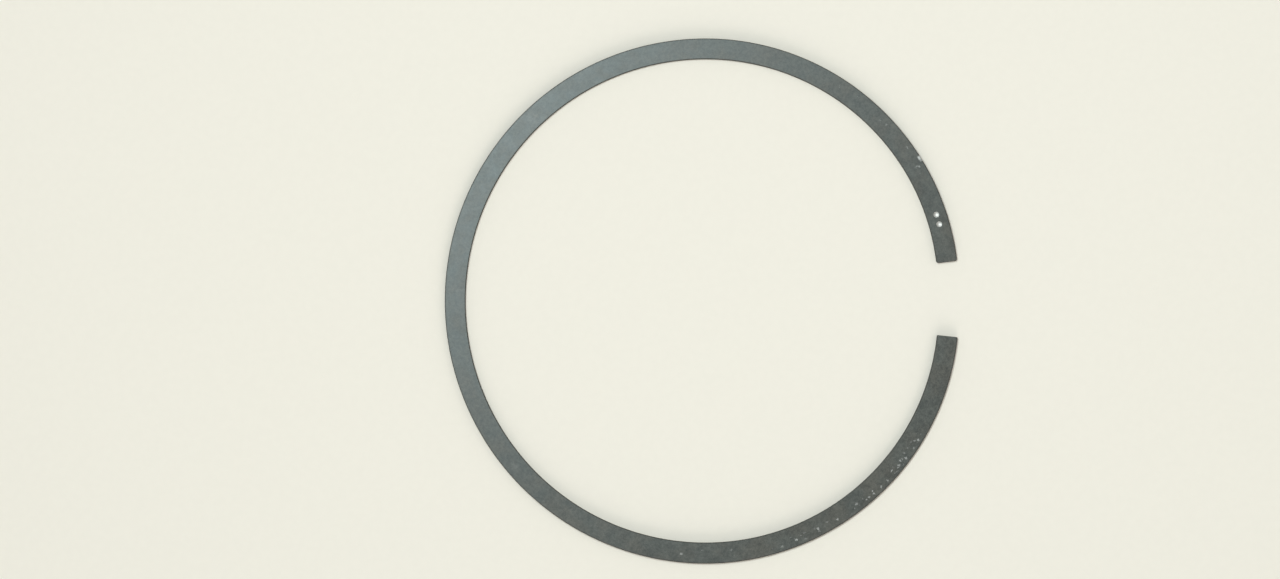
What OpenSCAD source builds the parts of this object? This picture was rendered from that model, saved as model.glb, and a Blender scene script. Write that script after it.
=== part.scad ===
// Second compression ring of a piston engine, lying free on its lower side.
// +Z is up, towards the piston crown, and +X points through the gap between the ends.
// A free ring isn't round: it is opened by a bend that makes it press on the whole bore once it is closed.
// That shape is a chain of tangent arcs here, each a revolve of the same section.

/* [Ring] */
// Bore of the cylinder, which is the outside diameter of the closed ring
bore_d = 80; // [60:0.5:110]
// Radial wall
wall = 3.35; // [2.6:0.05:4.5]
// Axial height, from the lower side to the upper side
height = 1.2; // [1:0.05:2.5]

/* [Free shape] */
// Distance between the ends of the free ring, on the middle of the wall
free_gap = 11.9; // [7:0.1:16]
// Distance between the ends of the closed ring, on the middle of the wall
closed_gap = 0.3; // [0.1:0.05:1]
// Share of the opening that bends every place alike, while the rest fades from the back to the ends
even_share = 0.13; // [0:0.01:0.6]

/* [Running face] */
// Lean of the running face in degrees, so that only its lower edge meets the bore
face_taper = 1; // [0.5:0.25:2.5]
// Height of the scraping edge above the lower side
hook_height = 0.4; // [0.3:0.02:0.56]
// Radial depth of the undercut behind the scraping edge
hook_depth = 0.5; // [0.4:0.05:0.9]
// Radius of the rounded root of the undercut
hook_root_r = 0.15; // [0.1:0.01:0.2]
// Rise of the undercut's roof from level, in degrees
hook_rise = 15; // [5:1:20]
// Flare of the undercut's inner wall from upright, in degrees
hook_flare = 15; // [5:1:45]

/* [Edges] */
// Chamfer on the two inner edges
inner_chamfer = 0.12; // [0.05:0.01:0.3]
// Edge break on the upper outer edge
outer_break = 0.06; // [0.02:0.01:0.15]
// Chamfer on the upright corners of both ends
end_chamfer = 0.2; // [0.05:0.01:0.4]

/* [Top mark] */
// Diameter of each of the two dots that mark the upper side
dot_d = 0.9; // [0.5:0.05:1.3]
// Depth of each dot
dot_depth = 0.08; // [0.04:0.01:0.15]
// Distance from the ring's end to the nearer dot
dot_from_end = 6.2; // [4:0.1:9]
// Distance between the two dots
dot_pitch = 1.6; // [1.4:0.1:3]

/* [Hidden] */
$fn = 96;

// Step that the arcs' radii are rounded to, so that neighbouring arcs meet without a shift
fit_step = 0.005;
// Reach of the wedges that cut the arcs, past the outside of the largest ring
reach = 100;
// How far a cutter stands past the surface that it cuts
over = 1;
// Distance at which the undercut's roof and inner wall pass the middle of its root, as a share of the root's radius
pass_share = 0.95;

// The wall's faces, seen from its middle
outer = wall / 2;
inner = -wall / 2;

// The closed ring: radius and half length of the middle of its wall
mid_r = bore_d / 2 - outer;
half_length = PI * mid_r - closed_gap / 2;

// Outward directions where one arc passes into the next, on the +Y side, and their turn from the back.
// They are exact decimals, so that both arcs are cut in the same plane.
joins = [[-0.8, 0.6], [0, 1], [0.8, 0.6]];
join_turns = [for (d = joins) atan2(d.y, -d.x)];
tip = len(joins);

// Bends that open the closed ring by a distance: the even one, and the back's part of the fading one
function bends(opening) = opening / (PI * mid_r) * [even_share / 2, (1 - even_share) / 3];

// Turn of the free ring's wall at a place, given by its angle from the back in the closed ring
function free_turn(a, bend) = a * (1 - bend[0] - bend[1]) - bend[1] * sin(a) * 180 / PI;

// Angle from the back in the closed ring at a turn of the free ring, by Newton's method
function closed_angle(turn, bend, a, steps = 6) =
    steps == 0 ? a :
    let (slope = 1 - bend[0] - bend[1] * (1 + cos(a)))
    closed_angle(turn, bend, a + (turn - free_turn(a, bend)) / slope, steps - 1);

// Mean radii of the free ring between the back, the joins and the end
function mean_radii(bend) =
    let (end_angle = half_length / mid_r * 180 / PI)
    let (turns = concat([0], join_turns, [free_turn(end_angle, bend)]))
    let (angles = [for (t = turns) closed_angle(t, bend, t)])
    [for (i = [0 : tip])
        let (r = mid_r * (angles[i + 1] - angles[i]) / (turns[i + 1] - turns[i]))
        round(r / fit_step) * fit_step];

// Centre of an arc: it lies on the line from the centre before it to their join
function centre(radii, i) =
    i == 0 ? [0, 0] : centre(radii, i - 1) + (radii[i - 1] - radii[i]) * joins[i - 1];

// Length of the middle of the wall from the back to the end of an arc
function length_to(radii, i) =
    i < 0 ? 0 :
    let (turn = join_turns[i] - (i == 0 ? 0 : join_turns[i - 1]))
    length_to(radii, i - 1) + radii[i] * turn * PI / 180;

// Gap that arcs with these radii leave when they have the closed ring's length
function gap_of(radii) =
    let (last_turn = (half_length - length_to(radii, tip - 1)) / radii[tip] * 180 / PI)
    2 * (centre(radii, tip).y + radii[tip] * sin(180 - join_turns[tip - 1] - last_turn));

// Opening that leaves the free gap, found by scaling it
function fitted_opening(opening, steps = 4) =
    steps == 0 ? opening :
    let (ratio = (free_gap - closed_gap) / (gap_of(mean_radii(bends(opening))) - closed_gap))
    fitted_opening(opening * ratio, steps - 1);

arc_r = mean_radii(bends(fitted_opening(free_gap - closed_gap)));
tip_centre = centre(arc_r, tip);

// Angle of the ring's end at the last arc's centre
tip_angle = asin((free_gap / 2 - tip_centre.y) / arc_r[tip]);
tip_dir = [cos(tip_angle), sin(tip_angle)];

// Angle along the last arc for a distance on the middle of the wall
function along_tip(distance) = distance / arc_r[tip] * 180 / PI;

// Middle of the ring's length along X, which is put at the origin
back_x = -arc_r[0] - outer;
front_x = tip_centre.x + (arc_r[tip] + outer) * cos(tip_angle + along_tip(end_chamfer));
middle_x = (back_x + front_x) / 2;

// Section of the ring: X runs outwards from the middle of the wall, and Y up from the lower side
module section() {
    lean = tan(face_taper);
    face_top = height - outer_break;
    face_top_x = outer - (face_top - hook_height) * lean;
    difference() {
        polygon([
            [inner + inner_chamfer, 0],
            [outer + hook_height * lean, 0],
            [face_top_x, face_top],
            [face_top_x - outer_break, height],
            [inner + inner_chamfer, height],
            [inner, height - inner_chamfer],
            [inner, inner_chamfer],
        ]);
        undercut();
    }
}

// Hooked groove below the scraping edge: a rising roof, a rounded root and a flared inner wall
module undercut() {
    pass = pass_share * hook_root_r;
    root_x = outer - hook_depth + hook_root_r;
    root = [root_x, hook_height + (outer - root_x) * tan(hook_rise) - pass / cos(hook_rise)];
    roof_end = root + pass * [sin(hook_rise), cos(hook_rise)];
    wall_top = root + pass * [-cos(hook_flare), sin(hook_flare)];
    translate(root) circle(r = hook_root_r);
    polygon([
        wall_top,
        [wall_top.x - (wall_top.y + over) * tan(hook_flare), -over],
        [outer + over, -over],
        [outer + over, hook_height - over * tan(hook_rise)],
        roof_end,
    ]);
}

// One arc of the ring, between two outward directions at its centre
module arc(i, from, to) {
    translate(centre(arc_r, i))
        intersection() {
            rotate_extrude() translate([arc_r[i], 0]) section();
            translate([0, 0, -over])
                linear_extrude(height + 2 * over)
                    polygon([[0, 0], reach * from, reach * (from + to), reach * to]);
        }
}

// The arcs from the first join to the end, on the +Y side
module side_arcs() {
    for (i = [1 : tip])
        arc(i, i == tip ? tip_dir : joins[i], joins[i - 1]);
}

// Places its children at a distance from the +Y end: X is outwards and Y leads away from the gap
module from_end(distance) {
    translate(tip_centre)
        rotate(tip_angle + along_tip(distance))
            translate([arc_r[tip], 0, 0])
                children();
}

// Cutter for the two upright corners of the +Y end
module end_corners() {
    leg = end_chamfer + over;
    for (side = [-1, 1])
        from_end(0)
            translate([side * (outer + over), -over, -over])
                linear_extrude(height + 2 * over)
                    polygon([[0, 0], [0, leg + over], [-side * (leg + over), 0]]);
}

// Cutter for the two dots that mark the upper side
module top_dots() {
    ball_r = (pow(dot_d / 2, 2) + pow(dot_depth, 2)) / (2 * dot_depth);
    for (distance = [dot_from_end, dot_from_end + dot_pitch])
        from_end(distance) translate([0, 0, height - dot_depth + ball_r]) sphere(r = ball_r);
}

module piston_ring() {
    color([0.43, 0.46, 0.45])
        translate([-middle_x, 0, 0])
            difference() {
                union() {
                    arc(0, [joins[0].x, -joins[0].y], joins[0]);
                    side_arcs();
                    mirror([0, 1, 0]) side_arcs();
                }
                end_corners();
                mirror([0, 1, 0]) end_corners();
                top_dots();
            }
}

piston_ring();
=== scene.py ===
"""A free second compression ring, swept from its section, dressed and lit on a pale table."""

import logging
import math
from dataclasses import dataclass, field
from enum import Enum

import bpy
import numpy as np
from mathutils import Matrix, Vector


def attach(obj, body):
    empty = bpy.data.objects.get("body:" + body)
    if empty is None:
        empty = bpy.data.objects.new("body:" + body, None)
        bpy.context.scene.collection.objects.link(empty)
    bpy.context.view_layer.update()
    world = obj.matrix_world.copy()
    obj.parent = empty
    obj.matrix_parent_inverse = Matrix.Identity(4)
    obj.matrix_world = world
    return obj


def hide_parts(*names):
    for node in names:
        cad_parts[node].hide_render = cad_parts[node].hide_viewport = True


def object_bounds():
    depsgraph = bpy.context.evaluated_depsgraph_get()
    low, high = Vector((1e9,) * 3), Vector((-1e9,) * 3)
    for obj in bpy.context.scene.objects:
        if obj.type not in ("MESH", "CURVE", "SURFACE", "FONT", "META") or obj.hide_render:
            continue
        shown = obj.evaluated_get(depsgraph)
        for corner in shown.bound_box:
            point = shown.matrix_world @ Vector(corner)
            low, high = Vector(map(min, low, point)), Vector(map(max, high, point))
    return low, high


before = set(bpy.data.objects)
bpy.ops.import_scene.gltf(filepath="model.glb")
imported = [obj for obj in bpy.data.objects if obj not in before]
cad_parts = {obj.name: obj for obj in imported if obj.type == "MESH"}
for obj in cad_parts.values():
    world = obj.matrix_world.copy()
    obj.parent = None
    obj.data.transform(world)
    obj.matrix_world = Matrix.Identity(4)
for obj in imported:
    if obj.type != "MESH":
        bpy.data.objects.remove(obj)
CAD_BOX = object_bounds()

MM = 0.001
RING_NODE = "piston_ring"

# Distance in metres within which two places count as one
SAME_PLACE = 1e-9

# Directions in the ring's section, in degrees
OUTWARDS, UPWARDS, INWARDS, DOWNWARDS = 0, 90, 180, 270

# Where noise patterns start, away from the point at which all their layers meet
NOISE_START = (37.3, 11.9, 5.7)

# Limits between which nearly all of a noise pattern lies, and the middle of a coloured one
NOISE_RANGE = (0.3, 0.7)
NOISE_MIDDLE = (0.5, 0.5, 0.5)

# Maps on the ring's mesh: one in metres along and round the section, one laid out for textures
UNROLLED_MAP = "Unrolled"
TEXTURE_MAP = "OFBake"

Colour = tuple[float, float, float]
Point = tuple[float, float]
Span = tuple[float, float]
Socket = bpy.types.NodeSocket

WARM_LIGHT: Colour = (1.0, 0.92, 0.84)

log = logging.getLogger("piston_ring")


class Zone(Enum):
    """Stretches of the ring's surface that are machined in one way, by material slot."""

    SIDE = 0
    TURNED = 1
    CUT = 2
    DOT = 3


class ToolMarks(Enum):
    """Way in which a zone's fine lines run.

    Each holds the lines' stretch along the ring and round the section, and their share of the relief.
    """

    LAPPED = ((6.0, 2.5), 0.3)
    ALONG = ((400.0, 1.0), 0.65)
    UPRIGHT = ((1.0, 60.0), 0.65)

    @property
    def stretch(self) -> tuple[float, float]:
        """How many times longer the lines are along the ring and round the section."""
        return self.value[0]

    @property
    def share(self) -> float:
        """Share of the lines in the zone's relief."""
        return self.value[1]


@dataclass(frozen=True)
class FreeShape:
    """Middle of the free ring's wall: a chain of tangent arcs, alike on both sides of the back.

    Attributes:
        radii: Radii of the arcs from the back to an end.
        joins: Outward directions where one arc passes into the next, on the +Y side.
        free_gap: Distance between the ends.
    """

    radii: tuple[float, ...] = (40.755 * MM, 40.105 * MM, 39.1 * MM, 38.615 * MM)
    joins: tuple[Point, ...] = ((-0.8, 0.6), (0.0, 1.0), (0.8, 0.6))
    free_gap: float = 11.9 * MM

    def centres(self) -> np.ndarray:
        """Gives the arcs' centres on the +Y side, seen from the first one."""
        steps = -np.diff(self.radii)[:, None] * np.array(self.joins)
        return np.vstack([np.zeros(2), np.cumsum(steps, 0)])

    def turns(self) -> np.ndarray:
        """Gives the wall's turn from the back at the start of each arc, and at the end."""
        end_y = self.free_gap / 2 - self.centres()[-1, 1]
        last = math.pi - math.asin(end_y / self.radii[-1])
        return np.array([0.0, *(math.atan2(y, -x) for x, y in self.joins), last])

    def lengths(self) -> np.ndarray:
        """Gives the length of the wall from the back to the start of each arc, and to the end."""
        return np.concatenate([[0.0], np.cumsum(np.diff(self.turns()) * self.radii)])

    @property
    def half_length(self) -> float:
        """Length of the wall from the back to one end."""
        return float(self.lengths()[-1])

    def stations(self, along: np.ndarray) -> tuple[np.ndarray, np.ndarray]:
        """Places sections along the whole ring.

        Args:
            along: Distances from the back, negative towards the -Y end.

        Returns:
            The places of the middle of the wall, seen from the back, and the outward directions.
        """
        away, side = np.abs(along), np.where(along < 0, -1.0, 1.0)
        arc = np.clip(np.searchsorted(self.lengths(), away, "right") - 1, 0, len(self.radii) - 1)
        radius = np.array(self.radii)[arc]
        turn = self.turns()[arc] + (away - self.lengths()[arc]) / radius
        outward = np.stack([-np.cos(turn), np.sin(turn)], 1)
        middle = self.centres()[arc] + radius[:, None] * outward + (self.radii[0], 0.0)
        flip = np.stack([np.ones_like(side), side], 1)
        return middle * flip, outward * flip


@dataclass(frozen=True)
class Outline:
    """Section of the ring as a closed row of points, from the undercut's foot by way of the bore.

    Attributes:
        points: Points across the wall and up from the lower side.
        zones: Zone of the stretch that follows each point.
        round_about: Distance round the section from the upper side's middle, at each point and back
            at the first.
        upper: Whether each point lies on the flat upper side.
    """

    points: np.ndarray
    zones: list[Zone]
    round_about: np.ndarray
    upper: np.ndarray


@dataclass(frozen=True)
class RingSection:
    """Section of a taper-faced ring with a hooked scraping edge.

    Attributes:
        wall: Radial wall.
        height: Axial height.
        face_taper: Lean of the running face in degrees.
        hook_height: Height of the scraping edge above the lower side.
        hook_depth: Radial depth of the undercut.
        hook_root: Radius of the undercut's root.
        hook_rise: Rise of the undercut's roof in degrees.
        hook_flare: Flare of the undercut's inner wall in degrees.
        pass_share: Distance of that roof and wall from the root's middle, as a share of its radius.
        inner_round: Rounding of the inner edges.
        outer_round: Rounding of the upper outer edge.
        lip_round: Rounding of the scraping edge.
        mark_reach: Distance from the middle of the wall within which the upper side has fine columns.
        mark_step: Step of those columns.
        support: Width of the strip beside a rounding that keeps the flat next to it flat.
        round_steps: Steps of a rounding.
        root_steps: Steps of the undercut's root.
    """

    wall: float = 3.35 * MM
    height: float = 1.2 * MM
    face_taper: float = 1.0
    hook_height: float = 0.4 * MM
    hook_depth: float = 0.5 * MM
    hook_root: float = 0.15 * MM
    hook_rise: float = 15.0
    hook_flare: float = 15.0
    pass_share: float = 0.95
    inner_round: float = 0.12 * MM
    outer_round: float = 0.06 * MM
    lip_round: float = 0.015 * MM
    mark_reach: float = 0.55 * MM
    mark_step: float = 0.05 * MM
    support: float = 0.03 * MM
    round_steps: int = 4
    root_steps: int = 10

    @property
    def bore_middle(self) -> float:
        """Distance round the section from the middle of the upper side to that of the bore's face."""
        flats = (self.wall + self.height) / 2 - 2 * self.inner_round
        return flats + math.pi / 2 * self.inner_round

    @staticmethod
    def arc(middle: Point, radius: float, start: float, end: float, steps: int) -> list[Point]:
        """Gives points on an arc.

        Args:
            middle: Its centre.
            radius: Its radius.
            start: Its first angle in degrees.
            end: Its last angle in degrees.
            steps: Its number of chords.

        Returns:
            The points from start to end.
        """
        angles = np.radians(np.linspace(start, end, steps + 1))
        return [(middle[0] + radius * math.cos(a), middle[1] + radius * math.sin(a)) for a in angles]

    def upper_columns(self, low: float, high: float) -> list[float]:
        """Gives the columns of the upper side, which are fine in the middle.

        Args:
            low: The side's inner limit.
            high: The side's outer limit.

        Returns:
            Places across the wall between the limits.
        """
        reach, support = self.mark_reach, self.support
        fine = np.linspace(-reach, reach, round(2 * reach / self.mark_step) + 1)
        return [low + support, (low - reach) / 2, *fine, (high + reach) / 2, high - support]

    def undercut(self) -> list[Point]:
        """Gives the undercut from the scraping edge to the lower side.

        Returns:
            The points of its roof, its rounded root and its inner wall.
        """
        outer, passing = self.wall / 2, self.pass_share * self.hook_root
        rise, flare = math.radians(self.hook_rise), math.radians(self.hook_flare)
        root_x = outer - self.hook_depth + self.hook_root
        root_up = self.hook_height + (outer - root_x) * math.tan(rise) - passing / math.cos(rise)
        bite = math.degrees(math.acos(self.pass_share))
        start, end = UPWARDS - self.hook_rise - bite, INWARDS - self.hook_flare + bite
        root = self.arc((root_x, root_up), self.hook_root, start, end, self.root_steps)
        wall_top = (root_x - passing * math.cos(flare), root_up + passing * math.sin(flare))
        foot_x = wall_top[0] - wall_top[1] * math.tan(flare)
        lip_in = (outer - self.lip_round, self.hook_height + self.lip_round * math.tan(rise))
        return [lip_in, *root, (foot_x, 0.0)]

    def outline(self) -> Outline:
        """Draws the section.

        Returns:
            The closed outline, with its zones.
        """
        inner, outer = -self.wall / 2, self.wall / 2
        lean = math.tan(math.radians(self.face_taper))
        face_top, bore_top = self.height - self.outer_round, self.height - self.inner_round
        face_top_x = outer - (face_top - self.hook_height) * lean
        edge_x, corner_x = inner + self.inner_round, face_top_x - self.outer_round
        inner_round, outer_round, steps = self.inner_round, self.outer_round, self.round_steps
        lower_bore = self.arc((edge_x, inner_round), inner_round, DOWNWARDS, INWARDS, steps)
        upper_bore = self.arc((edge_x, bore_top), inner_round, INWARDS, UPWARDS, steps)
        upper_edge = self.arc((corner_x, face_top), outer_round, UPWARDS, OUTWARDS, steps)
        columns = [(x, self.height) for x in self.upper_columns(edge_x, corner_x)]
        undercut = self.undercut()
        lower = [undercut[-1], (0.0, 0.0), (edge_x + self.support, 0.0)]
        bore = [(inner, inner_round + self.support), (inner, bore_top - self.support)]
        face = [
            (face_top_x + self.support * lean, face_top - self.support),
            (outer, self.hook_height + self.lip_round),
        ]
        stretches = [
            (Zone.SIDE, lower + lower_bore[:-1]),
            (Zone.TURNED, lower_bore[-1:] + bore),
            (Zone.SIDE, upper_bore + columns + upper_edge[:-1]),
            (Zone.TURNED, upper_edge[-1:] + face + undercut[:-1]),
        ]
        points = np.array([p for _, row in stretches for p in row])
        zones = [zone for zone, row in stretches for _ in row]
        chords = np.linalg.norm(np.roll(points, -1, 0) - points, axis=1)
        travelled = np.concatenate([[0.0], np.cumsum(chords)])
        upper = points[:, 1] > self.height - SAME_PLACE
        start = travelled[:-1][upper][0] - points[upper][0, 0]
        return Outline(points, zones, travelled - start, upper)


@dataclass(frozen=True)
class TopDots:
    """Two struck dots beside the +Y end, which mark the upper side.

    Attributes:
        diameter: Diameter of a dot.
        depth: Its depth.
        from_end: Distance from the end to the nearer dot.
        pitch: Distance between the dots.
        margin: Room round a dot that gets fine sections.
        step: Step of those sections.
    """

    diameter: float = 0.9 * MM
    depth: float = 0.08 * MM
    from_end: float = 6.2 * MM
    pitch: float = 1.6 * MM
    margin: float = 0.1 * MM
    step: float = 0.05 * MM

    def middles(self) -> tuple[float, float]:
        """Gives the dots' distances from the end."""
        return self.from_end, self.from_end + self.pitch

    def reach(self) -> Span:
        """Gives the stretch from the end that needs fine sections."""
        room = self.diameter / 2 + self.margin
        return self.from_end - room, self.from_end + self.pitch + room

    def sink(self, to_end: np.ndarray, across: np.ndarray) -> np.ndarray:
        """Gives how deep the upper side lies at places.

        Args:
            to_end: Distances from the +Y end.
            across: Distances outwards from the middle of the wall.

        Returns:
            The depths, which are 0 outside the dots.
        """
        ball = ((self.diameter / 2) ** 2 + self.depth**2) / (2 * self.depth)
        deep = np.zeros(np.broadcast(to_end, across).shape)
        for middle in self.middles():
            away = (to_end - middle) ** 2 + across**2
            cap = np.sqrt(np.maximum(ball**2 - away, 0)) - (ball - self.depth)
            deep = np.maximum(deep, cap)
        return deep

    def to_rim(self, to_end: np.ndarray, across: np.ndarray) -> tuple[np.ndarray, np.ndarray]:
        """Moves places straight to the rim of the nearer dot.

        Args:
            to_end: Their distances from the +Y end.
            across: Their distances outwards from the middle of the wall.

        Returns:
            The moved distances.
        """
        middles = np.array(self.middles())
        middle = middles[np.abs(to_end[:, None] - middles).argmin(1)]
        share = self.diameter / 2 / np.hypot(to_end - middle, across)
        return middle + (to_end - middle) * share, across * share


@dataclass(frozen=True)
class Spot:
    """Place on the ring's surface, in millimetres.

    Attributes:
        place: The place as a vector.
        along: Distance along the ring from the back.
        about: Distance round the section from the middle of the upper side.
    """

    place: Socket
    along: Socket
    about: Socket


class NodeBench:
    """Adds and joins the shader nodes of one material, or of the room's light."""

    def __init__(self, owner: bpy.types.Material | bpy.types.World) -> None:
        """Starts from an empty tree.

        Args:
            owner: What the nodes belong to.
        """
        owner.use_nodes = True
        self.tree = owner.node_tree
        self.tree.nodes.clear()

    def add(
        self, kind: str, inputs: dict[str | int, object] | None = None, **settings: object
    ) -> bpy.types.Node:
        """Adds a node.

        Args:
            kind: The node's type name, without the ShaderNode prefix.
            inputs: Values or sockets for its inputs, by name or place.
            settings: The node's own properties.

        Returns:
            The node.
        """
        node = self.tree.nodes.new("ShaderNode" + kind)
        for name, value in settings.items():
            setattr(node, name, value)
        for key, value in (inputs or {}).items():
            self.plug(node.inputs[key], value)
        return node

    def plug(self, socket: Socket, value: object) -> None:
        """Links a socket to an output, or sets its value.

        Args:
            socket: The input.
            value: An output socket, a number or a colour.
        """
        if isinstance(value, bpy.types.NodeSocket):
            self.tree.links.new(value, socket)
        elif isinstance(value, tuple) and len(value) == 3 and socket.type == "RGBA":
            socket.default_value = (*value, 1.0)
        else:
            socket.default_value = value

    def math(self, operation: str, a: object, b: object = 0.0, clamp: bool = False) -> Socket:
        """Works out a number from two numbers or sockets.

        Args:
            operation: The Math node's operation.
            a: The first term.
            b: The second term.
            clamp: Whether the result is kept between 0 and 1.

        Returns:
            The result.
        """
        return self.add("Math", {0: a, 1: b}, operation=operation, use_clamp=clamp).outputs[0]

    def vector(self, operation: str, terms: dict[str | int, object]) -> Socket:
        """Works out a vector from values or sockets.

        Args:
            operation: The Vector Math node's operation.
            terms: Its terms, by name or place.

        Returns:
            The result.
        """
        return self.add("VectorMath", terms, operation=operation).outputs[0]

    def ramp(
        self, value: Socket, low: float, high: float, to_low: float = 0.0, to_high: float = 1.0
    ) -> Socket:
        """Maps a value smoothly from one range to another, and holds it at the limits.

        Args:
            value: The value.
            low: Where the range starts.
            high: Where the range ends.
            to_low: Result at the start.
            to_high: Result at the end.

        Returns:
            The result.
        """
        limits = {"From Min": low, "From Max": high, "To Min": to_low, "To Max": to_high}
        node = self.add("MapRange", {"Value": value, **limits}, interpolation_type="SMOOTHSTEP")
        return node.outputs["Result"]

    def window(self, value: Socket, low: float, high: float, soft: float) -> Socket:
        """Gives 1 inside a range and 0 outside it.

        Args:
            value: The value.
            low: Where the range starts.
            high: Where the range ends.
            soft: Width of the fade at each limit.

        Returns:
            The window.
        """
        rise = self.ramp(value, low - soft / 2, low + soft / 2)
        fall = self.ramp(value, high - soft / 2, high + soft / 2, 1.0, 0.0)
        return self.math("MULTIPLY", rise, fall)

    def noise(self, place: Socket, size: float, stretch: tuple[float, float] = (1.0, 1.0)) -> Socket:
        """Adds a noise pattern.

        Args:
            place: The place.
            size: Size of its features, in the place's unit.
            stretch: How many times longer its features are along the ring and round the section.

        Returns:
            The noise, about 0.5 on the whole.
        """
        scale = (1 / (size * stretch[0]), 1 / (size * stretch[1]), 1.0)
        scaled = self.vector("MULTIPLY_ADD", {0: place, 1: scale, 2: NOISE_START})
        return self.add("TexNoise", {"Vector": scaled, "Scale": 1.0}).outputs["Fac"]

    def wandering(self, place: Socket, size: float, reach: float) -> Socket:
        """Shifts a place to and fro, so that what is drawn there gets ragged outlines.

        Args:
            place: Place in millimetres.
            size: Size of the shifts' pattern in millimetres.
            reach: How far they go, in millimetres.

        Returns:
            The shifted place.
        """
        shifts = self.add("TexNoise", {"Vector": place, "Scale": 1 / size}).outputs["Color"]
        centred = self.vector("SUBTRACT", {0: shifts, 1: NOISE_MIDDLE})
        scaled = self.vector("SCALE", {0: centred, "Scale": reach})
        return self.vector("ADD", {0: place, 1: scaled})

    def patch(self, spot: Spot, along: Span, across: Span, soft: float) -> Socket:
        """Gives 1 inside a patch of the upper side and 0 outside it.

        Args:
            spot: Place on the ring.
            along: First and last place along the ring.
            across: First and last place outwards from the middle of the wall.
            soft: Width of the fade at its limits.

        Returns:
            The patch.
        """
        return self.math(
            "MULTIPLY", self.window(spot.along, *along, soft), self.window(spot.about, *across, soft)
        )

    def grey(self, tone: Socket) -> Socket:
        """Makes a grey of a tone."""
        return self.add("CombineXYZ", {0: tone, 1: tone, 2: tone}).outputs[0]

    def mix(self, factor: object, a: object, b: object, blend: str = "MIX") -> Socket:
        """Mixes two colours.

        Args:
            factor: Share of the second colour.
            a: The first colour.
            b: The second colour.
            blend: The way of mixing.

        Returns:
            The mixed colour.
        """
        node = self.add("Mix", data_type="RGBA", blend_type=blend)
        colours = [s for s in node.inputs if s.type == "RGBA"]
        self.plug(node.inputs["Factor"], factor)
        self.plug(colours[0], a)
        self.plug(colours[1], b)
        return next(s for s in node.outputs if s.type == "RGBA")

    def unrolled(self) -> Spot:
        """Gives the place on the unrolled ring.

        Returns:
            The place in millimetres.
        """
        raw = self.add("UVMap", uv_map=UNROLLED_MAP).outputs[0]
        place = self.vector("SCALE", {0: raw, "Scale": 1 / MM})
        split = self.add("SeparateXYZ", {0: place})
        return Spot(place, split.outputs[0], split.outputs[1])

    def bump(self, height: Socket, strength: float, depth: float) -> Socket:
        """Turns a height into a relief.

        Args:
            height: The height, from 0 to about 1.
            strength: How strongly the relief shows.
            depth: Its depth.

        Returns:
            The relief's normal.
        """
        terms = {"Height": height, "Strength": strength, "Distance": depth}
        return self.add("Bump", terms).outputs[0]

    def shade(self, surface: dict[str | int, object]) -> None:
        """Ends the tree in a surface.

        Args:
            surface: Values or sockets for the surface shader's inputs.
        """
        shader = self.add("BsdfPrincipled", surface)
        self.add("OutputMaterial", {"Surface": shader.outputs[0]})


@dataclass(frozen=True)
class FleckPatch:
    """Patch of the upper side where handling has chipped light flecks off the coating.

    Attributes:
        along: First and last place along the ring from the back, in millimetres.
        across: First and last place outwards from the middle of the wall, in millimetres.
        spacing: Mean distance between possible flecks in millimetres.
        largest: Radius of the largest fleck in millimetres.
        rare: Share of the possible flecks that are left out.
        bareness: How bare the flecks are.
        wobble: How far their outlines wander, in millimetres.
        soft: Width of their fading outline in millimetres.
        faintest: Bareness of the faintest flecks, as a share.
    """

    along: Span
    across: Span
    spacing: float
    largest: float
    rare: float
    bareness: float
    wobble: float = 1.2
    soft: float = 0.08
    faintest: float = 0.5

    def bare(self, bench: NodeBench, spot: Spot) -> Socket:
        """Adds the patch.

        Args:
            bench: The material's bench.
            spot: Place on the ring.

        Returns:
            How bare each place is.
        """
        ragged = bench.wandering(spot.place, self.largest, self.wobble)
        cells = bench.add(
            "TexVoronoi", {"Vector": ragged, "Scale": 1 / self.spacing}, voronoi_dimensions="2D"
        )
        chance = bench.add("SeparateColor", {0: cells.outputs["Color"]}).outputs
        radius = bench.ramp(chance[0], self.rare, 1.0, -self.soft, self.largest)
        away = bench.math("MULTIPLY", cells.outputs["Distance"], self.spacing)
        fleck = bench.ramp(bench.math("SUBTRACT", radius, away), 0.0, self.soft)
        level = bench.ramp(chance[1], 0.0, 1.0, self.faintest * self.bareness, self.bareness)
        dimmed = bench.math("MULTIPLY", fleck, level)
        return bench.math("MULTIPLY", dimmed, bench.patch(spot, self.along, self.across, self.spacing))


@dataclass(frozen=True)
class Rub:
    """Faint light place where something has rubbed the coating.

    Attributes:
        along: First and last place along the ring from the back, in millimetres.
        across: First and last place outwards from the middle of the wall, in millimetres.
        soft: Width of its fade in millimetres.
        bareness: How bare it is.
        grain: Size of its cloudy grain in millimetres.
        faintest: Bareness of its faintest places, as a share.
    """

    along: Span
    across: Span
    soft: float
    bareness: float
    grain: float = 0.5
    faintest: float = 0.25

    def bare(self, bench: NodeBench, spot: Spot) -> Socket:
        """Adds the rub.

        Args:
            bench: The material's bench.
            spot: Place on the ring.

        Returns:
            How bare each place is.
        """
        grain = bench.noise(spot.place, self.grain)
        cloudy = bench.ramp(grain, *NOISE_RANGE, self.faintest * self.bareness, self.bareness)
        return bench.math("MULTIPLY", cloudy, bench.patch(spot, self.along, self.across, self.soft))


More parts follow.
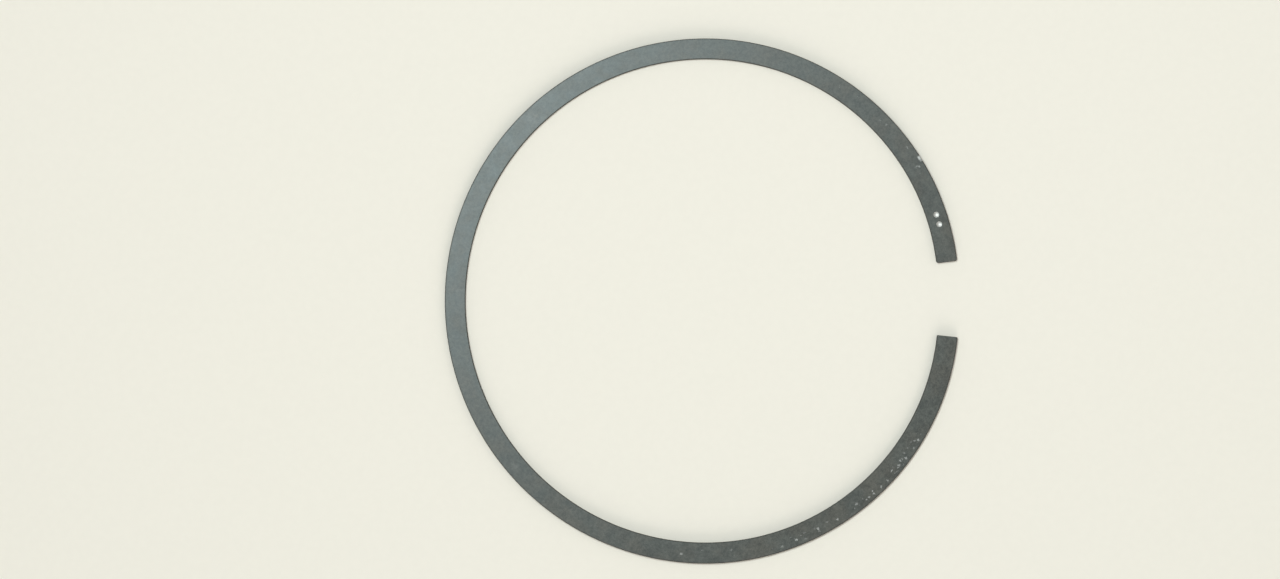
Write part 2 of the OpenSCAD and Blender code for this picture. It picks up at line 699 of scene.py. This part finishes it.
HANDLING_WEAR = (
    FleckPatch(
        (-104.0, -90.0), (0.15, 1.15), spacing=0.5, largest=0.24, rare=0.12, bareness=0.58, wobble=0.7
    ),
    FleckPatch(
        (-90.0, -76.0), (0.1, 1.0), spacing=0.8, largest=0.26, rare=0.15, bareness=0.65, wobble=0.8
    ),
    FleckPatch((-76.0, -58.0), (-0.2, 0.9), spacing=1.6, largest=0.2, rare=0.5, bareness=0.7),
    FleckPatch((86.0, 106.0), (0.0, 1.3), spacing=1.2, largest=0.2, rare=0.5, bareness=0.5),
    Rub((102.9, 103.8), (1.25, 1.75), soft=0.2, bareness=1.0),
    Rub((104.0, 104.2), (0.3, 0.55), soft=0.12, bareness=0.6),
    Rub((104.2, 104.5), (0.6, 0.85), soft=0.12, bareness=0.6),
    Rub((-59.4, -59.0), (0.15, 0.45), soft=0.15, bareness=0.45),
    Rub((-29.4, -27.8), (-0.3, 0.5), soft=0.8, bareness=0.06),
    Rub((32.3, 34.0), (-0.5, 0.9), soft=0.8, bareness=0.06),
    Rub((-5.6, -5.1), (-1.4, 1.6), soft=0.3, bareness=0.03),
    Rub((1.8, 2.3), (-1.4, 1.6), soft=0.3, bareness=0.03),
)


@dataclass(frozen=True)
class PhosphateFinish:
    """Matte slate-grey phosphate on ground iron, with painted shade on its thin edges.

    Attributes:
        colour: The coating's colour.
        cool: Colour that its cooler clouds lean to.
        worn: Colour of iron that handling has bared.
        edge: Painted shade on its thin edges: a darker colour that stands in for the shade along the
            edges and their roundings.
        sheen: Tint of its sheen.
        sheen_level: Level of its sheen.
        roughness: Its roughness.
        rough_swing: How far its roughness varies.
        rough_size: Size in millimetres of the pattern in which it varies.
        cloud_size: Size of its cooler clouds in millimetres.
        cloud_limits: Noise at which a cloud starts, and at which it is full.
        mottling: Size in millimetres and swing of each layer of its mottled tone.
        edge_reach: How far the thin edges reach in over the flat sides, in millimetres.
        edge_fade: Width of their fade in millimetres.
        edge_rise: How much rougher they are.
        crystal_size: Size of its crystals in millimetres.
        line_pitch: Pitch of tool lines in millimetres.
        relief: Depth of its relief.
        relief_strength: How strongly the relief shows.
    """

    colour: Colour = (0.0755, 0.0720, 0.0605)
    cool: Colour = (0.0710, 0.0735, 0.0650)
    worn: Colour = (0.50, 0.51, 0.50)
    edge: Colour = (0.045, 0.041, 0.034)
    sheen: Colour = (0.81, 0.95, 0.99)
    sheen_level: float = 0.194
    roughness: float = 0.29
    rough_swing: float = 0.014
    rough_size: float = 1.5
    cloud_size: float = 4.0
    cloud_limits: Span = (0.35, 0.65)
    mottling: tuple[tuple[float, float], ...] = (
        (6.0, 0.05), (1.5, 0.12), (0.5, 0.16), (0.2, 0.15), (0.09, 0.09),
    )
    edge_reach: float = 0.08
    edge_fade: float = 0.12
    edge_rise: float = 0.1
    crystal_size: float = 0.09
    line_pitch: float = 0.05
    relief: float = 0.004 * MM
    relief_strength: float = 0.25

    def tone(self, bench: NodeBench, place: Socket) -> Socket:
        """Adds the mottled tone.

        Args:
            bench: The material's bench.
            place: Place on the ring in millimetres.

        Returns:
            The tone, about 1 on the whole.
        """
        tone: Socket | float = 1.0
        for size, swing in self.mottling:
            layer = bench.ramp(bench.noise(place, size), *NOISE_RANGE, -swing, swing)
            tone = bench.math("ADD", tone, layer)
        return tone

    def height(self, bench: NodeBench, place: Socket, marks: ToolMarks) -> Socket:
        """Adds the height of the surface's fine relief.

        Args:
            bench: The material's bench.
            place: Place on the ring in millimetres.
            marks: Way in which the tool lines run.

        Returns:
            The height, from 0 to about 1.
        """
        crystals = bench.noise(place, self.crystal_size)
        lines = bench.noise(place, self.line_pitch, marks.stretch)
        return bench.math(
            "ADD",
            bench.math("MULTIPLY", crystals, 1 - marks.share),
            bench.math("MULTIPLY", lines, marks.share),
        )

    def rim(self, bench: NodeBench, spot: Spot, section: RingSection) -> Socket:
        """Finds the thin edges of the flat sides, which get painted shade and a rougher surface.

        Args:
            bench: The material's bench.
            spot: Place on the ring.
            section: The ring's section, which says where the edges are.

        Returns:
            How far each place belongs to them.
        """
        start = section.wall / 2 / MM - self.edge_reach - self.edge_fade / 2
        end = 2 * section.bore_middle / MM - start
        return bench.window(bench.math("ABSOLUTE", spot.about), start, end, self.edge_fade)

    def material(self, name: str, marks: ToolMarks, section: RingSection) -> bpy.types.Material:
        """Builds the material of one zone.

        Args:
            name: The material's name.
            marks: Way in which the tool lines run.
            section: The ring's section, which says where the edges are.

        Returns:
            The material.
        """
        material = bpy.data.materials.new(name)
        bench = NodeBench(material)
        spot = bench.unrolled()
        clouds = bench.noise(spot.place, self.cloud_size)
        colour = bench.mix(bench.ramp(clouds, *self.cloud_limits), self.colour, self.cool)
        colour = bench.mix(1.0, colour, bench.grey(self.tone(bench, spot.place)), "MULTIPLY")
        grain = bench.noise(spot.place, self.rough_size)
        low, high = self.roughness - self.rough_swing, self.roughness + self.rough_swing
        rough = bench.ramp(grain, *NOISE_RANGE, low, high)
        if marks is ToolMarks.LAPPED:
            rim = self.rim(bench, spot, section)
            # Painted shade: the thin edges of the flat sides and their roundings are darkened towards
            # the edge colour
            colour = bench.mix(rim, colour, self.edge)
            rough = bench.math("ADD", rough, bench.math("MULTIPLY", rim, self.edge_rise))
            bare: Socket | float = 0.0
            for wear in HANDLING_WEAR:
                bare = bench.math("MAXIMUM", bare, wear.bare(bench, spot))
            colour = bench.mix(bare, colour, self.worn)
        height = self.height(bench, spot.place, marks)
        bench.shade({
            "Base Color": colour,
            "Specular IOR Level": self.sheen_level,
            "Specular Tint": self.sheen,
            "Roughness": rough,
            "Normal": bench.bump(height, self.relief_strength, self.relief),
        })
        return material


@dataclass(frozen=True)
class StruckFinish:
    """Bright iron at the bottom of a struck dot.

    Attributes:
        colour: Colour of the bare iron.
        dull: Colour of its duller grains.
        roughness: Its roughness.
        grain_size: Size of its grains in millimetres.
        dull_limits: Noise at which a duller grain starts, and at which it is full.
        relief: Depth of its relief.
        relief_strength: How strongly the relief shows.
    """

    colour: Colour = (0.50, 0.50, 0.485)
    dull: Colour = (0.40, 0.40, 0.385)
    roughness: float = 0.5
    grain_size: float = 0.12
    dull_limits: Span = (0.35, 0.7)
    relief: float = 0.006 * MM
    relief_strength: float = 0.3

    def material(self, name: str) -> bpy.types.Material:
        """Builds the material.

        Args:
            name: The material's name.

        Returns:
            The material.
        """
        material = bpy.data.materials.new(name)
        bench = NodeBench(material)
        grain = bench.noise(bench.unrolled().place, self.grain_size)
        colour = bench.mix(bench.ramp(grain, *self.dull_limits), self.colour, self.dull)
        bench.shade({
            "Base Color": colour,
            "Metallic": 1.0,
            "Roughness": self.roughness,
            "Normal": bench.bump(grain, self.relief_strength, self.relief),
        })
        return material


@dataclass
class PistonRing:
    """The ring: its section swept along the free shape, with rounded ends and struck dots.

    Attributes:
        shape: The middle of the wall.
        section: The section.
        dots: The dots that mark the upper side.
        step: Step between sections.
        corner_round: Rounding of the upright corners at the -Y end and at the +Y end.
        end_edge_round: Rounding of the ends' level edges.
        corner_steps: Sections in a rounding.
        sharp_angle: Bend in degrees from which an edge is drawn sharp.
        texture_rows: Rows into which the texture map cuts the ring.
        texture_gap: Room between those rows.
    """

    shape: FreeShape = field(default_factory=FreeShape)
    section: RingSection = field(default_factory=RingSection)
    dots: TopDots = field(default_factory=TopDots)
    step: float = 0.34 * MM
    corner_round: tuple[float, float] = (0.22 * MM, 0.36 * MM)
    end_edge_round: float = 0.05 * MM
    corner_steps: int = 6
    sharp_angle: float = 50.0
    texture_rows: int = 5
    texture_gap: float = 0.3 * MM

    def along(self) -> np.ndarray:
        """Chooses the sections, which are closer in the rounded ends and at the dots.

        Returns:
            Distances from the back, negative towards the -Y end.
        """
        half = self.shape.half_length
        bend = 1 - np.cos(np.linspace(0, math.pi / 2, self.corner_steps + 1))
        first, last = self.corner_round
        near, far = self.dots.reach()
        plain = np.linspace(-half + first, half - far, round((2 * half - far) / self.step))
        fine = np.linspace(half - far, half - near, round((far - near) / self.dots.step) + 1)
        plain_end = np.linspace(half - near, half - last, round(near / self.step))
        first_end, last_end = -half + first * bend[:-1], half - last * bend[-2::-1]
        return np.concatenate([first_end, plain, fine[1:], plain_end[1:], last_end])

    @staticmethod
    def inset(to_end: np.ndarray, radius: np.ndarray | float) -> np.ndarray:
        """Gives how far a rounded end has drawn in.

        Args:
            to_end: Distances from the nearer end.
            radius: Radius of the rounding there.

        Returns:
            The insets.
        """
        left = np.clip(radius - to_end, 0, radius)
        return radius - np.sqrt(radius**2 - left**2)

    def dot_faces(self, along: np.ndarray, outline: Outline) -> np.ndarray:
        """Finds the faces whose middle lies in a dot.

        Args:
            along: Distances of the sections from the back.
            outline: The section's outline.

        Returns:
            Whether each face does, by section and point of the outline.
        """
        to_end = self.shape.half_length - (along[:-1] + along[1:]) / 2
        across = outline.points[:, 0]
        middle = (across + np.roll(across, -1)) / 2
        upper = outline.upper & np.roll(outline.upper, -1)
        return upper & (self.dots.sink(to_end[:, None], middle[None, :]) > 0)

    def points(self, along: np.ndarray, outline: Outline) -> np.ndarray:
        """Places every point of the sweep, with the steps round the dots drawn out to their rims.

        Args:
            along: Distances of the sections from the back.
            outline: The section's outline.

        Returns:
            Places by section and point of the outline.
        """
        half, height, wall = self.shape.half_length, self.section.height, self.section.wall
        to_end = half - np.abs(along)
        corner = np.where(along < 0, *self.corner_round)
        across = outline.points[None, :, 0] * (1 - 2 * self.inset(to_end, corner) / wall)[:, None]
        level = 1 - 2 * self.inset(to_end, self.end_edge_round) / height
        up = height / 2 + (outline.points[None, :, 1] - height / 2) * level[:, None]
        to_dots = np.broadcast_to((half - along)[:, None], across.shape).copy()
        near = np.pad(self.dot_faces(along, outline), ((1, 1), (1, 0)))
        around = np.stack([near[:-1, :-1], near[:-1, 1:], near[1:, :-1], near[1:, 1:]])
        stepped = around.any(0) & ~around.all(0)
        to_dots[stepped], across[stepped] = self.dots.to_rim(to_dots[stepped], across[stepped])
        up = up - np.where(outline.upper, self.dots.sink(to_dots, across), 0)
        middle, outward = self.shape.stations((half - to_dots).ravel())
        flat = middle + outward * across.reshape(-1, 1) + (CAD_BOX[0].x + wall / 2, 0.0)
        return np.column_stack([flat, up.ravel() + CAD_BOX[0].z]).reshape(*across.shape, 3)

    def build(self) -> bpy.types.Object:
        """Builds the ring's mesh, with its maps and zones.

        Returns:
            The ring.
        """
        outline = self.section.outline()
        along = self.along()
        points = self.points(along, outline)
        sections, count = points.shape[:2]
        in_dot = self.dot_faces(along, outline)
        faces, zones, unrolled = [], [], []
        for i in range(sections - 1):
            here, there = i * count, (i + 1) * count
            start, end = along[i], along[i + 1]
            for j in range(count):
                k = (j + 1) % count
                faces.append((here + j, there + j, there + k, here + k))
                low, high = outline.round_about[j], outline.round_about[j + 1]
                unrolled += [(start, low), (end, low), (end, high), (start, high)]
                zones.append(Zone.DOT if in_dot[i, j] else outline.zones[j])
        for i, order in ((0, range(count)), (sections - 1, range(count - 1, -1, -1))):
            faces.append(tuple(i * count + j for j in order))
            sign = math.copysign(1, along[i])
            unrolled += [(along[i] + sign * outline.points[j, 1], outline.points[j, 0]) for j in order]
            zones.append(Zone.CUT)
        mesh = bpy.data.meshes.new("ring_body")
        mesh.from_pydata(points.reshape(-1, 3).tolist(), [], faces)
        mesh.polygons.foreach_set("material_index", [zone.value for zone in zones])
        mesh.polygons.foreach_set("use_smooth", [zone is not Zone.CUT for zone in zones])
        mesh.set_sharp_from_angle(angle=math.radians(self.sharp_angle))
        self.add_maps(mesh, np.array(unrolled), outline)
        ring = bpy.data.objects.new("ring_body", mesh)
        bpy.context.scene.collection.objects.link(ring)
        return ring

    def add_maps(self, mesh: bpy.types.Mesh, unrolled: np.ndarray, outline: Outline) -> None:
        """Adds the unrolled map and the texture map, which stacks lengths of the ring in rows.

        Args:
            mesh: The ring's mesh.
            unrolled: Place of every face corner along and round the section.
            outline: The section's outline.
        """
        layer = mesh.uv_layers.new(name=UNROLLED_MAP)
        layer.uv.foreach_set("vector", unrolled.astype(np.float32).ravel())
        half = self.shape.half_length
        low, high = outline.round_about[0], outline.round_about[-1]
        row_length = 2 * half / self.texture_rows
        row_height = high - low + self.texture_gap
        stacked = self.texture_rows * row_height
        side = max(row_length, stacked + self.section.height) + 2 * self.texture_gap
        starts = np.array([p.loop_start for p in mesh.polygons])
        totals = np.array([p.loop_total for p in mesh.polygons])
        corner_face = np.repeat(np.arange(len(starts)), totals)
        middle = np.add.reduceat(unrolled[:, 0], starts) / totals
        row = np.clip((middle + half) // row_length, 0, self.texture_rows - 1)[corner_face]
        laid = np.stack([
            unrolled[:, 0] + half - row * row_length,
            unrolled[:, 1] - low + row * row_height,
        ], 1)
        for end, face in enumerate((-2, -1)):
            corners = slice(starts[face], starts[face] + totals[face])
            turned = unrolled[corners][:, ::-1] - unrolled[corners][:, ::-1].min(0)
            laid[corners] = turned + (end * (self.section.wall + self.texture_gap), stacked)
        texture = mesh.uv_layers.new(name=TEXTURE_MAP)
        texture.uv.foreach_set("vector", ((laid + self.texture_gap) / side).astype(np.float32).ravel())

    def dress(self, ring: bpy.types.Object) -> None:
        """Gives the ring its finishes, one for each zone.

        Args:
            ring: The ring.
        """
        coat = PhosphateFinish()
        finishes = {
            Zone.SIDE: coat.material("lapped_phosphate", ToolMarks.LAPPED, self.section),
            Zone.TURNED: coat.material("turned_phosphate", ToolMarks.ALONG, self.section),
            Zone.CUT: coat.material("cut_phosphate", ToolMarks.UPRIGHT, self.section),
            Zone.DOT: StruckFinish().material("struck_iron"),
        }
        for zone in Zone:
            ring.data.materials.append(finishes[zone])


@dataclass(frozen=True)
class PhotoFrame:
    """Where the photograph shows the ring.

    Attributes:
        width: Its width in pixels.
        height: Its height in pixels.
        back: Pixel of the middle of the wall at the back.
        pixel: Size of a pixel on the ring's upper side.
        tilt: Turn of the gap's direction from level, in degrees.
    """

    width: int = 1280
    height: int = 579
    back: Point = (454.64, 302.47)
    pixel: float = 0.16059 * MM
    tilt: float = 0.456


def hang_lamp(data: bpy.types.Light, place: Vector, facing: Vector) -> None:
    """Puts a lamp into the scene.

    Args:
        data: The lamp.
        place: Its place.
        facing: Direction that it faces.
    """
    holder = bpy.data.objects.new(data.name, data)
    holder.location = place
    holder.rotation_mode = "QUATERNION"
    holder.rotation_quaternion = facing.to_track_quat("-Z", "Y")
    holder.visible_camera = False
    bpy.context.scene.collection.objects.link(holder)


@dataclass(frozen=True)
class Softbox:
    """A soft lamp close over the table, which gives the ring its sheen.

    Attributes:
        name: Its name.
        place: Its place, seen from the ring's middle.
        aim: Point that it faces.
        size: Its side.
        power: Its power in watts.
        colour: Its colour.
    """

    name: str
    place: tuple[float, float, float]
    aim: tuple[float, float, float]
    size: float
    power: float
    colour: Colour

    def hang(self) -> None:
        """Hangs the lamp."""
        data = bpy.data.lights.new(self.name, "AREA")
        data.size = self.size
        data.energy = self.power
        data.color = self.colour
        facing = Vector(self.aim) - Vector(self.place)
        hang_lamp(data, Vector(self.place), facing)


@dataclass(frozen=True)
class FarSoftbox:
    """A large soft lamp so far off that it lights the whole table alike.

    Attributes:
        name: Its name.
        azimuth: Direction in which it stands, in degrees from +X towards +Y.
        elevation: Its height over the table, in degrees.
        spread: Angle that it takes up, in degrees.
        level: Light on the table, as a share of what shows a colour as written.
        colour: Its colour.
    """

    name: str
    azimuth: float
    elevation: float
    spread: float
    level: float
    colour: Colour

    def hang(self) -> None:
        """Hangs the lamp."""
        data = bpy.data.lights.new(self.name, "SUN")
        around, up = math.radians(self.azimuth), math.radians(self.elevation)
        data.angle = math.radians(self.spread)
        data.energy = self.level * math.pi / math.sin(up)
        data.color = self.colour
        place = Vector((math.cos(around) * math.cos(up), math.sin(around) * math.cos(up), math.sin(up)))
        hang_lamp(data, place, -place)


@dataclass
class Studio:
    """Pale table, soft lamps and a camera that looks straight down.

    Attributes:
        photo: Where the photograph shows the ring.
        distance: Height of the camera over the ring's upper side.
        sensor: Width of the camera's sensor in millimetres.
        clip_start: Distance at which the camera starts to see.
        floor_size: Side of the table.
        floor_drop: Room under the ring, which keeps the surfaces apart.
        floor_colour: Colour of the table.
        floor_roughness: Its roughness.
        fibre_size: Size of its fibres.
        fibre_swing: How much darker they are.
        room_colour: Colour of the room.
        wall_level: Light from the pale walls round the table.
        ceiling_level: Light from the room above them.
        wall_top: Height at which the walls have faded, as the sine of its angle.
        lamps: The lamps.
    """

    photo: PhotoFrame = field(default_factory=PhotoFrame)
    distance: float = 1.2
    sensor: float = 36.0
    clip_start: float = 12 * MM
    floor_size: float = 4.0
    floor_drop: float = 0.01 * MM
    floor_colour: Colour = (0.859, 0.831, 0.758)
    floor_roughness: float = 0.85
    fibre_size: float = 1.1 * MM
    fibre_swing: float = 0.01
    room_colour: Colour = (1.0, 0.97, 0.92)
    wall_level: float = 0.65
    ceiling_level: float = 0.25
    wall_top: float = 0.35
    lamps: tuple[Softbox | FarSoftbox, ...] = (
        Softbox(
            "upper_softbox",
            place=(-0.0723, 0.0713, 0.686),
            aim=(0.25, 0.0, 0.0),
            size=0.137,
            power=3.08,
            colour=(0.93, 1.0, 0.99),
        ),
        FarSoftbox("front_softbox", azimuth=-84, elevation=26, spread=46, level=0.14, colour=WARM_LIGHT),
        FarSoftbox("right_softbox", azimuth=0, elevation=48, spread=52, level=0.06, colour=WARM_LIGHT),
    )

    def lay_floor(self) -> None:
        """Lays the pale table under the ring."""
        half = self.floor_size / 2
        corners = [(-half, -half), (half, -half), (half, half), (-half, half)]
        z = CAD_BOX[0].z - self.floor_drop
        mesh = bpy.data.meshes.new("table")
        mesh.from_pydata([(x, y, z) for x, y in corners], [], [(0, 1, 2, 3)])
        material = bpy.data.materials.new("pale_board")
        bench = NodeBench(material)
        place = bench.add("TexCoord").outputs["Object"]
        fibre = bench.noise(place, self.fibre_size)
        tone = bench.grey(bench.ramp(fibre, *NOISE_RANGE, 1 - self.fibre_swing, 1.0))
        colour = bench.mix(1.0, self.floor_colour, tone, "MULTIPLY")
        bench.shade({"Base Color": colour, "Roughness": self.floor_roughness})
        mesh.materials.append(material)
        table = bpy.data.objects.new("table", mesh)
        bpy.context.scene.collection.objects.link(table)

    def hang_lamps(self) -> None:
        """Hangs the soft lamps and sets the room's light."""
        for lamp in self.lamps:
            lamp.hang()
        room = bpy.data.worlds.new("room")
        bench = NodeBench(room)
        direction = bench.add("TexCoord").outputs["Generated"]
        up = bench.add("SeparateXYZ", {0: direction}).outputs["Z"]
        level = bench.ramp(up, 0.0, self.wall_top, self.wall_level, self.ceiling_level)
        walls = bench.add("Background", {"Color": self.room_colour, "Strength": level})
        bench.add("OutputWorld", {"Surface": walls.outputs[0]})
        bpy.context.scene.world = room

    def set_camera(self, section: RingSection) -> None:
        """Sets the camera over the middle of the photograph's frame.

        Args:
            section: The ring's section, which says where the back is.
        """
        photo = self.photo
        tilt = math.radians(photo.tilt)
        right = Vector((math.cos(tilt), -math.sin(tilt), 0))
        up = Vector((math.sin(tilt), math.cos(tilt), 0))
        to_right = ((photo.width - 1) / 2 - photo.back[0]) * photo.pixel
        to_top = (photo.back[1] - (photo.height - 1) / 2) * photo.pixel
        back = Vector((CAD_BOX[0].x + section.wall / 2, 0, CAD_BOX[1].z))
        data = bpy.data.cameras.new("overhead")
        data.sensor_width = self.sensor
        data.lens = self.sensor * self.distance / (photo.width * photo.pixel)
        data.clip_start = self.clip_start
        camera = bpy.data.objects.new("overhead", data)
        camera.location = back + right * to_right + up * to_top + Vector((0, 0, self.distance))
        camera.rotation_euler = Matrix.Rotation(-tilt, 3, "Z").to_euler()
        bpy.context.scene.collection.objects.link(camera)
        bpy.context.scene.camera = camera

    def set_up(self, section: RingSection) -> None:
        """Sets up the table, the lamps, the camera and the plain view transform.

        Args:
            section: The ring's section.
        """
        self.lay_floor()
        self.hang_lamps()
        self.set_camera(section)
        bpy.context.scene.view_settings.view_transform = "Standard"


def main() -> None:
    """Builds the ring, dresses it and sets up the studio."""
    logging.basicConfig(level=logging.INFO, format="%(name)s %(message)s")
    piston_ring = PistonRing()
    ring = piston_ring.build()
    piston_ring.dress(ring)
    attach(ring, "root")
    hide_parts(RING_NODE)
    log.info("%s: %d faces", ring.name, len(ring.data.polygons))
    studio = Studio()
    studio.set_up(piston_ring.section)
    log.info("studio: %d lamps, camera %.2f m up", len(studio.lamps), studio.distance)


if __name__ == "__main__":
    main()
